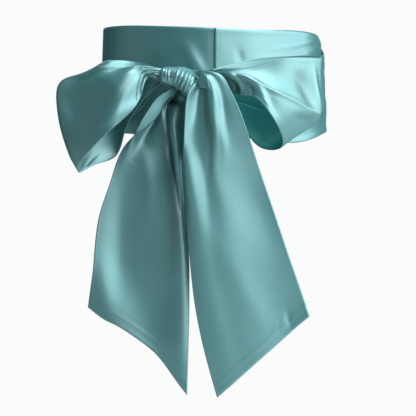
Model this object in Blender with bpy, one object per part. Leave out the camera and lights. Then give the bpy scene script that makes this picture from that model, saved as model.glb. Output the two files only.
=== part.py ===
"""Satin waist sash: one long strip of doubled satin, wound round the waist and tied in a bow.

The strip starts at a seam at the centre front. Each half goes round one side, the halves cross
at the back, come round again to the front and are tied in a knot with two loops and two tails.
Every stretch is a wall of cloth on its own sections. Millimetres here, metres in the meshes.
Origin: centre of the waist hollow, level with the middle of the band. The front faces -Y.
"""

import math

import bpy
import numpy as np

MM = 0.001

# The strip and the waist it goes round
WALL = 1.5  # doubled satin with its pressed turnings
GAP = 0.3  # between neighbours at a seam or at the knot
WAIST_HALF_WIDTH = 133.0
WAIST_HALF_DEPTH = 95.0
HIP_FLARE = 0.035  # growth of the waist per mm downwards
SEAM_ANGLE = -1.0  # degrees from the centre front, positive towards the wearer's right (-X)
SATIN = (0.30, 0.56, 0.58, 1.0)
SATIN_ROUGHNESS = 0.35

# The wound band, a row for each section. Angle in degrees from the front, positive towards -X;
# lift is how far the cloth stands off the waist; gather is how deep its lengthwise folds are.
BAND_COLUMNS = ("angle", "lift", "top", "bottom", "gather")
BASE_LEFT = (
    (SEAM_ANGLE, 0.0, 66, -61, 0.0),
    (28, 0.0, 69, -59, 0.0),
    (48, 0.0, 71, -56, 0.0),
    (66, 0.0, 71.5, -53, 0.0),
    (90, 0.0, 71, -52, 0.0),
    (115, 0.0, 71, -50, 0.2),
    (140, 0.0, 70, -44, 0.8),
    (158, 0.0, 68, -26, 1.3),
    (171, 0.0, 66, 2, 1.7),
    (180, 2.0, 66, 2, 1.7),
)
OUTER_RIGHT = (
    (180, 2.0, 66, 2, 1.7),
    (189, 5.5, 66, 2, 1.7),
    (202, 6.0, 65, -20, 1.3),
    (225, 3.8, 62, -40, 0.8),
    (250, 1.0, 58, -46, 0.6),
    (270, -0.5, 53, -51, 0.5),
    (290, 1.2, 51, -56, 0.5),
    (303, 3.0, 48, -62, 0.6),
    (313, 4.0, 43, -66, 0.8),
    (324, 4.5, 33, -66, 1.0),
    (342, 5.0, 25, -44, 1.2),
    (354, 7.5, 20, -22, 1.2),
    (363, 13.0, 15, -2, 1.0),
    (371, 19.0, 13, 1, 0.6),
)
BASE_RIGHT = (
    (SEAM_ANGLE, 0.0, 66, -61, 0.0),
    (-20, 0.0, 64.5, -62, 0.0),
    (-43, 0.0, 65, -62, 0.0),
    (-55, -0.5, 63, -61, 0.3),
    (-64, -1.5, 60, -58, 0.4),
    (-71, -2.7, 56, -55, 0.5),
    (-82, -4.2, 50, -51, 0.6),
    (-105, -4.5, 50, -48, 0.8),
    (-125, -3.2, 48, -50, 0.8),
    (-150, -1.0, 36, -56, 1.0),
    (-163, 0.0, 20, -58, 1.3),
    (-171, 0.0, -2, -60, 1.7),
    (-180, 2.0, -2, -60, 1.7),
)
OUTER_LEFT = (
    (-180, 2.0, -2, -60, 1.7),
    (-189, 5.5, -2, -60, 1.7),
    (-203, 6.0, 14, -58, 1.4),
    (-225, 5.0, 24, -52, 1.2),
    (-250, 4.5, 27, -50, 1.2),
    (-275, 4.0, 27, -52, 1.2),
    (-300, 4.5, 24, -50, 1.2),
    (-315, 8.0, 20, -40, 1.2),
    (-327, 14.5, 18, -24, 1.2),
    (-337, 24.0, 14, -3, 1.0),
    (-343, 30.0, 11, 1, 0.6),
)
GATHERS_ACROSS = 3  # lengthwise folds where the strip narrows

# Points along and across each wall
BASE_GRID = (36, 8)
OUTER_GRID = (42, 11)
LOOP_GRID = (42, 13)
TAIL_GRID = (28, 19)

# The knot, a row for each ring along it, from the left loop's side to the right tail's side.
KNOT_COLUMNS = ("x", "y", "z", "half_depth", "half_height")
KNOT = (
    (-60.5, -120, 11, 9, 5.0),
    (-58.0, -121, 10.5, 14, 8.5),
    (-52.0, -123, 10, 18, 11.0),
    (-44.0, -125, 9, 20, 12.5),
    (-36.0, -126, 6, 21, 15.0),
    (-29.0, -126, 2.5, 20, 16.5),
    (-23.5, -125, 4, 16, 12.0),
    (-20.0, -124, 6, 9, 6.0),
)
KNOT_PLEATS = 7
PLEAT_HEIGHT = 0.9
PLEAT_SLANT = 0.55  # how far a pleat wanders along the knot as it goes round, in pleats
KNOT_RINGS = 30
KNOT_SIDES = 22
KNOT_POINT = 1.0  # how far each end stands out past its last ring

# The loops, a row for each section across the strip. It leaves the knot in front, turns at the
# far end and comes back behind. Each cell is a point (x, y, z) on the cloth.
LOOP_COLUMNS = ("top_edge", "upper", "middle", "lower", "bottom_edge")
LEFT_LOOP = (
    ((-50, -122, 16), (-50, -123, 13), (-50, -124, 10), (-50, -123, 7), (-50, -122, 4)),
    ((-62, -124, 18), (-62, -125, 14), (-62, -127, 10.5), (-62, -126, 7), (-62, -124, 4)),
    ((-76, -133, 19.5), (-77, -137, 16), (-78, -139, 12.5), (-77, -138, 9), (-74, -133, 6)),
    ((-89, -141, 18.5), (-91, -148, 11), (-92, -151, 2), (-88, -152, -6), (-80, -141, -8)),
    ((-103, -143, 17), (-109, -151, 3), (-110, -155, -14), (-101, -158, -24), (-88, -139, -26)),
    ((-117, -138, 17), (-129, -149, 1), (-134, -153, -23), (-124, -158, -41), (-106, -139, -45)),
    ((-127, -128, 20), (-150, -141, 2), (-162, -143, -25), (-152, -150, -54), (-134, -137, -71)),
    ((-130, -115, 24), (-155, -121, 12), (-179, -122, -5), (-178, -126, -50), (-157, -125, -98)),
    ((-124, -106, 27), (-145, -103, 14), (-165, -101, -14), (-162, -104, -60), (-153, -111, -103)),
    ((-112, -103, 29), (-129, -96, 8), (-143, -91, -22), (-142, -94, -60), (-135, -102, -94)),
    ((-98, -104, 29), (-111, -95, 8), (-120, -91, -18), (-120, -94, -50), (-112, -101, -83)),
    ((-84, -107, 27), (-92, -101, 11), (-98, -98, -8), (-103, -99, -30), (-102, -104, -54)),
    ((-72, -112, 21), (-75, -110, 13), (-77, -109, 3), (-80, -109, -8), (-82, -110, -20)),
    ((-62, -116, 15), (-62, -116, 12.5), (-62, -116, 9), (-62, -116, 6), (-62, -116, 3)),
    ((-50, -117, 14), (-50, -117, 11.5), (-50, -117, 9), (-50, -117, 6.5), (-50, -117, 4)),
)
RIGHT_LOOP = (
    ((-30, -123, 12), (-30, -124, 9.5), (-30, -124, 7), (-30, -124, 4.5), (-30, -123, 2)),
    ((-19, -123, 14), (-19, -124, 11), (-19, -124.5, 8), (-19, -124, 5), (-19, -123, 2)),
    ((0, -126, 15.5), (0.5, -127, 13), (1, -128, 10), (2, -126.5, 5.5), (3, -123, 0)),
    ((21, -132, 17), (21, -133, 13), (21, -136, 8), (22.5, -133, -2), (23, -127, -12.5)),
    ((43, -142, 19.5), (44, -144, 11.5), (45, -151, 2.5), (46, -148, -8), (44, -136, -15)),
    ((66, -142, 26), (68, -142, 11.5), (68, -151, -7), (67, -151, -21), (59, -141, -28)),
    ((95, -130, 29.5), (98, -129, 6), (97, -139, -20), (88, -144, -38), (73, -138, -48.5)),
    ((125.5, -108, 31), (126.5, -107, -1), (127, -111, -34), (105, -120, -54), (79, -126, -71.5)),
    ((107, -97, 33), (112, -91, 4.5), (110, -92, -24), (92, -99, -54), (68.5, -109, -76)),
    ((77.5, -97, 32.5), (82, -92, 9), (82, -92, -15), (68, -95, -46), (52, -102, -71.5)),
    ((48.5, -101, 29.5), (51, -98.5, 12.5), (52, -98.5, -7), (45, -99, -32), (37, -102, -53)),
    ((22, -106, 23), (23, -105.5, 14), (24, -105.5, 1), (23, -105, -15), (22, -106, -30)),
    ((1, -111.5, 17), (1, -111.5, 13), (1, -111.5, 6), (1, -111, -2), (1, -111, -9)),
    ((-17, -116, 12.5), (-17, -116.5, 10), (-17, -116.5, 7), (-17, -116.5, 4), (-17, -116, 1)),
    ((-30, -117, 11), (-30, -117.5, 9), (-30, -117.5, 7), (-30, -117.5, 5), (-30, -117, 3)),
)

# The loops' largest folds, a row for each. Each runs over the cloth from one place to another,
# given as shares of the way along the loop and across the strip. Height is outwards.
FOLD_COLUMNS = ("along_start", "across_start", "along_end", "across_end", "width", "height")
LEFT_LOOP_FOLDS = (
    (0.07, 0.28, 0.40, 0.84, 8.0, -4.0),
    (0.10, 0.15, 0.38, 0.34, 11.0, 2.0),
    (0.12, 0.80, 0.36, 0.97, 6.0, 1.5),
    (0.90, 0.45, 0.68, 0.35, 8.0, 2.0),
)
RIGHT_LOOP_FOLDS = (
    (0.16, 0.38, 0.50, 0.61, 7.0, 4.0),
    (0.32, 0.30, 0.48, 0.42, 9.0, -4.0),
    (0.10, 0.62, 0.21, 0.90, 7.0, -3.0),
    (0.24, 0.48, 0.40, 0.92, 7.0, 2.5),
    (0.90, 0.50, 0.66, 0.40, 9.0, 2.0),
)
FOLD_SAMPLES = 40  # places along a fold's line

# The tails, a row for each section from the knot to the slanted cut end.
LEFT_TAIL_COLUMNS = ("left_edge", "roll", "left_panel", "middle", "valley", "ridge", "right_edge")
LEFT_TAIL = (
    ((-46, -121, 1), (-46, -120, 0), (-45, -118.5, -1), (-43, -117.5, -1), (-40, -117, -1),
     (-36, -117.5, -1), (-32, -118, -1)),
    ((-45, -125, -9), (-49, -122.5, -8), (-49, -118, -10), (-47, -115.5, -11), (-44, -114, -11),
     (-38, -117, -10), (-32, -118, -9)),
    ((-52, -130, -18.5), (-62, -126, -15), (-60, -119, -21), (-56, -115, -23), (-51, -111, -22),
     (-43, -118, -20), (-32, -117, -18)),
    ((-61, -131.5, -33), (-73, -127, -29), (-69, -119, -37), (-62, -116, -40), (-53, -110, -39),
     (-44.5, -118, -38), (-31, -116.5, -38)),
    ((-77, -128.5, -49), (-84, -123.5, -46), (-79, -118, -53), (-68, -117, -57), (-53, -111, -57),
     (-44, -119, -57), (-30.5, -117, -57)),
    ((-98, -121, -66), (-94, -119.5, -68), (-87, -119, -70), (-70, -119, -74), (-49, -113, -76),
     (-42, -120, -76), (-30.5, -118, -76)),
    ((-117.5, -112, -110), (-112, -117, -110), (-99, -121, -110), (-74, -121, -111),
     (-46, -114.5, -111), (-39.5, -119.5, -111), (-31.5, -117, -111)),
    ((-131, -108, -151), (-121, -116, -151), (-105, -121.5, -151), (-76, -118.5, -151),
     (-43, -113, -151), (-36.5, -117.5, -151), (-30, -114.5, -151)),
    ((-137.5, -106, -203), (-126, -114, -203), (-107, -119.5, -203), (-76, -117, -203),
     (-42, -112.5, -203), (-33.5, -116.5, -203), (-27, -113.5, -203)),
    ((-141, -105, -232), (-127, -112, -239), (-108.5, -117.5, -244), (-78, -116, -254),
     (-48, -113, -267), (-36, -116, -275), (-28, -120, -282)),
    ((-144.5, -106, -257.5), (-128, -111, -270), (-110, -115, -279.5), (-81, -114, -299),
     (-58, -112, -321), (-41.5, -114, -344), (-30, -118, -358.5)),
)
RIGHT_TAIL_COLUMNS = ("left_edge", "left_ridge", "valley", "right_ridge", "hollow", "panel",
                      "right_edge")
RIGHT_TAIL = (
    ((-32, -130, -3), (-32, -131, 0), (-32, -130.5, 3), (-32, -131, 6), (-32, -130.5, 9),
     (-31, -131, 11.5), (-30, -130, 14)),
    ((-24, -132, -2), (-22.5, -133.5, 1), (-21.5, -132.5, 4), (-20.5, -134, 7.5), (-19, -132.5, 10.5),
     (-17.5, -133.5, 13), (-15.5, -133, 15)),
    ((-26, -137, -6), (-21, -141, -3), (-14.5, -135.5, 0), (-8.5, -142, 6), (-3.5, -138.5, 9),
     (1.5, -140, 10.5), (7, -138, 10)),
    ((-30, -138, -16), (-24, -144, -14), (-11.5, -131, -12), (-1, -144, -7), (6, -139, -4.5),
     (12.5, -141, -2.5), (18.5, -138, -5)),
    ((-32, -138, -28), (-25.5, -145, -28), (-9, -130, -28), (2.5, -145, -25.5), (10.5, -139.5, -24),
     (19.5, -140, -23), (26.5, -135, -22)),
    ((-33, -136, -47), (-25.5, -145, -48.5), (-8, -130, -49.5), (6, -145, -49.5),
     (16, -138, -48.5), (27.5, -138, -47.5), (36, -131, -46)),
    ((-34, -130, -70), (-25.5, -142, -71.5), (-8, -131, -73), (8, -143, -73), (21, -137, -73),
     (34.5, -137, -71.5), (44, -128, -70.5)),
    ((-35.5, -124, -105), (-22, -137, -105), (-6, -131, -105), (12.5, -139, -106),
     (29, -136, -106), (45, -135, -106), (55.5, -127, -105)),
    ((-31, -121, -151), (-14.5, -130, -151), (3, -129, -152.5), (23, -134, -152.5),
     (41, -134, -152.5), (60, -131, -152.5), (71.5, -124, -151)),
    ((-27, -119, -203), (-8, -125, -203), (11, -126, -204.5), (32, -129, -204.5),
     (52, -129, -204.5), (75, -126, -203), (89, -121, -203)),
    ((-19, -117, -267), (-1.5, -121, -260), (19, -123, -254), (41.5, -124, -248.5),
     (63.5, -124, -243.5), (85.5, -122, -238), (100.5, -119, -235.5)),
    ((4.5, -116, -361.5), (19.5, -118, -349), (37, -120, -332.5), (56.5, -121, -315),
     (76, -121, -298), (97, -119, -279.5), (111, -117, -267.5)),
)


def clear_scene():
    for obj in list(bpy.data.objects):
        bpy.data.objects.remove(obj)


def spline(points, at, knots):
    """The natural cubic spline through points, which lie at knots, read at the places in at."""
    points = np.asarray(points, float)
    count = len(knots)
    step = np.diff(knots)
    system = np.eye(count)
    right = np.zeros_like(points)
    for i in range(1, count - 1):
        system[i, i - 1] = step[i - 1]
        system[i, i] = 2 * (step[i - 1] + step[i])
        system[i, i + 1] = step[i]
        rise = (points[i + 1] - points[i]) / step[i]
        fall = (points[i] - points[i - 1]) / step[i - 1]
        right[i] = 6 * (rise - fall)
    bend = np.linalg.solve(system, right.reshape(count, -1)).reshape(points.shape)
    span = np.clip(np.searchsorted(knots, at, side="right") - 1, 0, count - 2)
    width = step[span]
    shape = (-1,) + (1,) * (points.ndim - 1)
    a = ((knots[span + 1] - at) / width).reshape(shape)
    b = ((at - knots[span]) / width).reshape(shape)
    square = (width**2 / 6).reshape(shape)
    curved = ((a**3 - a) * bend[span] + (b**3 - b) * bend[span + 1]) * square
    return a * points[span] + b * points[span + 1] + curved


def spaced_knots(rows, axis):
    """Knots along one axis of a table of points, by the mean distance between neighbours."""
    steps = np.linalg.norm(np.diff(rows, axis=axis), axis=2).mean(axis=1 - axis)
    return np.concatenate([[0.0], np.cumsum(steps)])


def loft(rows, columns, along, across):
    """A grid of along x across points on the smooth surface through a table of sections."""
    rows = np.asarray(rows, float).reshape(len(rows), len(columns), 3)
    side = spaced_knots(rows, 1)
    rows = spline(rows.transpose(1, 0, 2), np.linspace(0, side[-1], across), side)
    rows = rows.transpose(1, 0, 2)
    run = spaced_knots(rows, 0)
    return spline(rows, np.linspace(0, run[-1], along), run)


def add_folds(grid, folds, outwards):
    """Raise or sink a grid of cloth along each fold's line, fading out at the fold's ends."""
    along, across, _ = grid.shape
    normal = np.cross(np.gradient(grid, axis=0), np.gradient(grid, axis=1))
    normal *= outwards / np.linalg.norm(normal, axis=2, keepdims=True)
    shift = np.zeros((along, across))
    share = np.linspace(0, 1, FOLD_SAMPLES)
    for row in folds:
        fold = dict(zip(FOLD_COLUMNS, row))
        i = fold["along_start"] + (fold["along_end"] - fold["along_start"]) * share
        j = fold["across_start"] + (fold["across_end"] - fold["across_start"]) * share
        i = np.rint(i * (along - 1)).astype(int)
        j = np.rint(j * (across - 1)).astype(int)
        distance = np.linalg.norm(grid[:, :, None] - grid[i, j][None, None], axis=3)
        crest = np.exp(-((distance / fold["width"]) ** 2)) * np.sin(math.pi * share) ** 0.5
        shift += fold["height"] * crest.max(axis=2)
    return grid + normal * shift[:, :, None]


def band_surface(table, along, across):
    """A grid of points on a stretch that goes round the waist."""
    angles = np.asarray(table, float)[:, BAND_COLUMNS.index("angle")]
    knots = np.abs(angles - angles[0])
    sections = dict(zip(BAND_COLUMNS, spline(table, np.linspace(0, knots[-1], along), knots).T))
    share = np.linspace(0, 1, across)[None, :]
    top = sections["top"][:, None]
    z = top + (sections["bottom"][:, None] - top) * share
    folds = np.maximum(sections["gather"], 0.0)[:, None] * np.sin(2 * math.pi * GATHERS_ACROSS * share)
    stand_off = sections["lift"][:, None] + folds - HIP_FLARE * z
    turn = np.radians(sections["angle"])[:, None]
    x = -(WAIST_HALF_WIDTH + stand_off) * np.sin(turn)
    y = -(WAIST_HALF_DEPTH + stand_off) * np.cos(turn)
    return np.stack([x, y, z], axis=2)


def knot_grid(clearance):
    """Rings of points round the knot, with pleats that run round it on a slant."""
    centres = np.asarray(KNOT, float)[:, None, :3]
    knots = spaced_knots(centres, 0)
    rings = dict(zip(KNOT_COLUMNS, spline(KNOT, np.linspace(0, knots[-1], KNOT_RINGS), knots).T))
    share = np.linspace(0, 1, KNOT_RINGS)[:, None]
    turn = np.arange(KNOT_SIDES)[None, :] * 2 * math.pi / KNOT_SIDES
    pleats = np.cos(2 * math.pi * (KNOT_PLEATS * share + PLEAT_SLANT * np.cos(turn)))
    fade = np.sqrt(np.clip(np.sin(math.pi * share), 0, 1))
    swell = clearance + PLEAT_HEIGHT * pleats * fade
    x = rings["x"][:, None] + 0 * turn
    y = rings["y"][:, None] + (rings["half_depth"][:, None] + swell) * np.cos(turn)
    z = rings["z"][:, None] + (rings["half_height"][:, None] + swell) * np.sin(turn)
    return np.stack([x, y, z], axis=2)


def satin(name):
    material = bpy.data.materials.new(name + "_satin")
    material.use_nodes = True
    shader = material.node_tree.nodes["Principled BSDF"]
    shader.inputs["Base Color"].default_value = SATIN
    shader.inputs["Roughness"].default_value = SATIN_ROUGHNESS
    shader.inputs["Metallic"].default_value = 0.0
    return material


def add_mesh(name, points, faces):
    mesh = bpy.data.meshes.new(name)
    mesh.from_pydata([tuple(MM * c for c in p) for p in points], [], faces)
    mesh.materials.append(satin(name))
    mesh.shade_smooth()
    obj = bpy.data.objects.new(name, mesh)
    bpy.context.scene.collection.objects.link(obj)
    return obj


def grid_faces(along, across):
    return [
        (i * across + j, i * across + j + 1, (i + 1) * across + j + 1, (i + 1) * across + j)
        for i in range(along - 1)
        for j in range(across - 1)
    ]


def cloth(name, grid, cutter=None):
    """A wall of cloth centred on a grid of points, cut clear of the knot where it reaches it."""
    along, across, _ = grid.shape
    obj = add_mesh(name, grid.reshape(-1, 3), grid_faces(along, across))
    wall = obj.modifiers.new("wall", "SOLIDIFY")
    wall.thickness = WALL * MM
    wall.offset = 0.0
    wall.use_rim = True
    if cutter is not None:
        cut = obj.modifiers.new("clear_of_knot", "BOOLEAN")
        cut.operation = "DIFFERENCE"
        cut.object = cutter
    return obj


def knot_solid(name, clearance):
    """The knot's closed form, with a blunt point at each end, grown by the clearance."""
    grid = knot_grid(clearance)
    points = [tuple(p) for p in grid.reshape(-1, 3)]
    left_point = len(points)
    right_point = left_point + 1
    points.append(tuple(grid[0].mean(axis=0) - (clearance + KNOT_POINT, 0, 0)))
    points.append(tuple(grid[-1].mean(axis=0) + (clearance + KNOT_POINT, 0, 0)))
    last_ring = (KNOT_RINGS - 1) * KNOT_SIDES
    faces = []
    for j in range(KNOT_SIDES):
        k = (j + 1) % KNOT_SIDES
        faces.append((left_point, k, j))
        faces.append((right_point, last_ring + j, last_ring + k))
        for ring in range(0, last_ring, KNOT_SIDES):
            faces.append((ring + j, ring + k, ring + KNOT_SIDES + k, ring + KNOT_SIDES + j))
    return add_mesh(name, points, faces)


def trimmed(table, start, end):
    """A band table whose first and last sections are moved to leave half a gap at a seam."""
    rows = [list(row) for row in table]
    rows[0][0] += start
    rows[-1][0] += end
    return rows


def build_band(cutter):
    half_gap = math.degrees(GAP / 2 / WAIST_HALF_WIDTH)
    base_left = trimmed(BASE_LEFT, half_gap, -half_gap)
    base_right = trimmed(BASE_RIGHT, -half_gap, half_gap)
    outer_left = trimmed(OUTER_LEFT, -half_gap, 0)
    outer_right = trimmed(OUTER_RIGHT, half_gap, 0)
    cloth("base_left", band_surface(base_left, *BASE_GRID))
    cloth("base_right", band_surface(base_right, *BASE_GRID))
    cloth("outer_left", band_surface(outer_left, *OUTER_GRID), cutter)
    cloth("outer_right", band_surface(outer_right, *OUTER_GRID), cutter)


def build_bow(cutter):
    left_loop = loft(LEFT_LOOP, LOOP_COLUMNS, *LOOP_GRID)
    right_loop = loft(RIGHT_LOOP, LOOP_COLUMNS, *LOOP_GRID)
    cloth("loop_left", add_folds(left_loop, LEFT_LOOP_FOLDS, 1), cutter)
    cloth("loop_right", add_folds(right_loop, RIGHT_LOOP_FOLDS, -1), cutter)
    cloth("tail_left", loft(LEFT_TAIL, LEFT_TAIL_COLUMNS, *TAIL_GRID), cutter)
    cloth("tail_right", loft(RIGHT_TAIL, RIGHT_TAIL_COLUMNS, *TAIL_GRID), cutter)


def main():
    clear_scene()
    knot_solid("knot", 0.0)
    cutter = knot_solid("knot_clearance", GAP)
    cutter.hide_render = True
    cutter.display_type = "WIRE"
    build_band(cutter)
    build_bow(cutter)


main()
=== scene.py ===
import math
import bpy
import numpy as np
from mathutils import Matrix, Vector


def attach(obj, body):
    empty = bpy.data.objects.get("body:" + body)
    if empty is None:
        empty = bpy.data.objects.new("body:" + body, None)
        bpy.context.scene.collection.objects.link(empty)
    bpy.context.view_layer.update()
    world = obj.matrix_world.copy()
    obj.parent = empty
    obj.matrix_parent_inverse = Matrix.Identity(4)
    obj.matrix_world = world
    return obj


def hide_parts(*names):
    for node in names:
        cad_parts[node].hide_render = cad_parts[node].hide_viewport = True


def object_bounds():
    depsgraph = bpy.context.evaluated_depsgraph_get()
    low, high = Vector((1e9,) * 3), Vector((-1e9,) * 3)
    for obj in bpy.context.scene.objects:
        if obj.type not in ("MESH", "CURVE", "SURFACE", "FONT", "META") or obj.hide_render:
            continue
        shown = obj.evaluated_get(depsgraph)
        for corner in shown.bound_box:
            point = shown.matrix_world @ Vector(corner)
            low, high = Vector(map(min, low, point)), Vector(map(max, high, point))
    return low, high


# Satin waist sash, tied in a bow. Tables are in millimetres, as the strip was laid out.
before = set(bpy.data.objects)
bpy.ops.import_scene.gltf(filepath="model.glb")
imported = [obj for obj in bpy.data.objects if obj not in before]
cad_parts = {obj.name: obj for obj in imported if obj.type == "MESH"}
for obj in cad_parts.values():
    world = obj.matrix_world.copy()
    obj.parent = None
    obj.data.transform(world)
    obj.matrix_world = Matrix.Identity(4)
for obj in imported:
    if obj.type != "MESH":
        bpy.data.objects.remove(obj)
cadBox = [list(corner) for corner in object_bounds()]
bpy.ops.object.select_all(action="DESELECT")
print("frame loaded:", len(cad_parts), "nodes")

mm = 0.001
waist = {
    "halfWidth": 133.0,
    "halfDepth": 95.0,
    "hipFlare": 0.035,   # growth of the waist per mm downwards
    "gathersAcross": 3,  # lengthwise folds across the wound strip
}
strip = {
    "wall": 1.1,         # two layers of satin, pressed
    "edgeRoll": 0.45,    # how much fuller the folded edges are
    "edgeReach": 1.6,    # how far in from an edge that shows
    "tipReach": 0.8,     # the very edge is rounded off over this
    "tipLeast": 0.12,    # the square of the share of the wall that it keeps
    "hemInset": 5.0,     # turnings end here, inside the strip's edges
    "hemStep": 0.22,     # height of the line that they press through
    "hemLine": 0.9,      # half the width of that line
    "hemPlateau": 0.5,   # share of the line's height that the turnings themselves stand up
    "tuckReach": 1.4,    # how far in from an end it is tucked under its neighbour
    "plainEdge": 99.0,   # a side this far off has no turning to press through
}
foldShape = {
    "samples": 48,       # places along a fold's path
    "endFade": 0.6,      # how fast a fold dies away at its ends
    "pinch": 1.6,        # how sharp a pressed fold is
    "paintedShadingWidth": 8,      # folds narrower than this get painted shade in their hollows and painted highlight on their ridges; broader ones keep the cloth's own colour
    "paintedShadingHeight": 4.0,   # a fold this high gets the full painted highlight, a hollow this deep the full painted shade
}
limpness = {"waves": 9, "shortest": 0.6, "longest": 1.6}   # wavelengths as shares of a ripple's size
pleatShape = {
    "sway": 0.02,        # how much the pleats wander, as shares of the strip's width
    "swayEvery": 9,      # mm
    "uneven": 0.05,      # how unevenly they are spaced
    "unevenWaves": 1.5,
    "phase": 6,          # radians, the most that a wave is shifted by
    "fade": 1.5,         # how fast they open out
}


# a natural cubic spline through the points of a table, at any number of places
def splineThrough(points, at, knots):
    points = np.asarray(points, float)
    count = len(knots)
    step = np.diff(knots)
    system = np.eye(count)
    known = np.zeros_like(points)
    for i in range(1, count - 1):
        system[i, i - 1] = step[i - 1]
        system[i, i] = 2 * (step[i - 1] + step[i])
        system[i, i + 1] = step[i]
        known[i] = 6 * ((points[i + 1] - points[i]) / step[i] - (points[i] - points[i - 1]) / step[i - 1])
    bend = np.linalg.solve(system, known.reshape(count, -1)).reshape(points.shape)
    span = np.clip(np.searchsorted(knots, at, side="right") - 1, 0, count - 2)
    width = step[span]
    shape = (-1,) + (1,) * (points.ndim - 1)
    a = ((knots[span + 1] - at) / width).reshape(shape)
    b = ((at - knots[span]) / width).reshape(shape)
    square = (width**2 / 6).reshape(shape)
    curved = ((a**3 - a) * bend[span] + (b**3 - b) * bend[span + 1]) * square
    return a * points[span] + b * points[span + 1] + curved


# where each row or column of a table lies, by its mean distance from the first
def knotsAlong(rows, axis):
    steps = np.linalg.norm(np.diff(rows, axis=axis), axis=2).mean(axis=1 - axis)
    return np.concatenate([[0.0], np.cumsum(steps)])


# a smooth sheet through a table of points, evenly divided both ways
def loftRows(rows, along, across):
    rows = np.asarray(rows, float)
    side = knotsAlong(rows, 1)
    rows = splineThrough(rows.transpose(1, 0, 2), np.linspace(0, side[-1], across), side)
    rows = rows.transpose(1, 0, 2)
    run = knotsAlong(rows, 0)
    return splineThrough(rows, np.linspace(0, run[-1], along), run)


# a stretch wound round the waist; a row is angle, lift, top, bottom, gather
def bandRows(rows, along, across):
    angles = np.asarray(rows, float)[:, 0]
    knots = np.abs(angles - angles[0])
    angle, lift, top, bottom, gather = splineThrough(rows, np.linspace(0, knots[-1], along), knots).T
    share = np.linspace(0, 1, across)[None, :]
    z = top[:, None] + (bottom - top)[:, None] * share
    folds = np.maximum(gather, 0)[:, None] * np.sin(2 * math.pi * waist["gathersAcross"] * share)
    standOff = lift[:, None] + folds - waist["hipFlare"] * z
    turn = np.radians(angle)[:, None]
    x = -(waist["halfWidth"] + standOff) * np.sin(turn)
    y = -(waist["halfDepth"] + standOff) * np.cos(turn)
    return np.stack([x, y, z], axis=2)


def normalsOf(grid, outwards):
    normal = np.cross(np.gradient(grid, axis=0), np.gradient(grid, axis=1))
    length = np.linalg.norm(normal, axis=2, keepdims=True)
    return outwards * normal / np.maximum(length, 1e-9)


# evenly spaced places on a smooth line through a fold's (along, across) points
def foldLine(path, samples):
    path = np.asarray(path, float)
    if len(path) == 2:
        return path[0] + (path[1] - path[0]) * np.linspace(0, 1, samples)[:, None]
    knots = np.concatenate([[0.0], np.cumsum(np.linalg.norm(np.diff(path, axis=0), axis=1))])
    return splineThrough(path, np.linspace(0, knots[-1], samples), knots)


# how far each point of the cloth is raised, in mm. A fold is (path, width, height, sharpness)
def foldShift(grid, folds):
    along, across, _ = grid.shape
    samples = foldShape["samples"]
    shift = np.zeros((along, across))
    for path, width, height, sharpness in folds:
        places = foldLine(path, samples) * (along - 1, across - 1)
        i = np.clip(places[:, 0].astype(int), 0, along - 2)
        j = np.clip(places[:, 1].astype(int), 0, across - 2)
        u, v = (places[:, 0] - i)[:, None], (places[:, 1] - j)[:, None]
        line = (grid[i, j] * (1 - u) + grid[i + 1, j] * u) * (1 - v)
        line += (grid[i, j + 1] * (1 - u) + grid[i + 1, j + 1] * u) * v
        crest = np.zeros((along, across))
        for k in range(samples - 1):
            step = line[k + 1] - line[k]
            share = np.clip(((grid - line[k]) @ step) / (step @ step), 0, 1)
            distance = np.linalg.norm(grid - line[k] - share[:, :, None] * step, axis=2) / width
            fade = np.maximum(np.sin(math.pi * (k + share) / (samples - 1)), 0) ** foldShape["endFade"]
            soft = np.exp(-(distance**2))
            pinched = np.exp(-foldShape["pinch"] * distance)
            crest = np.maximum(crest, fade * (soft + (pinched - soft) * sharpness))
        shift += height * crest
    return shift


# the slow unevenness that limp cloth always has, from a few crossed waves
def ripple(grid, size, height, seed):
    rng = np.random.default_rng(seed)
    total = np.zeros(grid.shape[:2])
    for _ in range(limpness["waves"]):
        direction = rng.normal(size=3)
        direction /= np.linalg.norm(direction)
        wavelength = size * rng.uniform(limpness["shortest"], limpness["longest"])
        phase = rng.uniform(0, 2 * math.pi)
        total += np.sin(2 * math.pi * (grid @ direction) / wavelength + phase)
    return height * total / math.sqrt(limpness["waves"])


# pleats drawn in by the knot: how many, how deep (mm), and how far they run from each end
def gathers(grid, setting, seed):
    count, depth, reaches = setting
    rng = np.random.default_rng(seed)
    along = laidLength(grid, 0)
    share = np.linspace(0, 1, grid.shape[1])[None, :]
    phase = pleatShape["phase"]
    wander = pleatShape["sway"] * np.sin(along / pleatShape["swayEvery"] + rng.uniform(0, phase))
    spacing = 2 * math.pi * share * pleatShape["unevenWaves"]
    wander = wander + pleatShape["uneven"] * np.sin(spacing + rng.uniform(0, phase))
    pleats = np.sin(2 * math.pi * count * (share + wander) + rng.uniform(0, phase))
    total = np.zeros(grid.shape[:2])
    for end, reach in zip((along, along[-1:] - along), reaches):
        if reach:
            total += depth * pleats * np.exp(-((end / reach) ** pleatShape["fade"]))
    return total


# distance along the cloth from its start, at each point
def laidLength(grid, axis):
    steps = np.linalg.norm(np.diff(grid, axis=axis), axis=2)
    zero = np.zeros_like(np.take(steps, [0], axis=axis))
    return np.concatenate([zero, np.cumsum(steps, axis=axis)], axis=axis)


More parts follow.
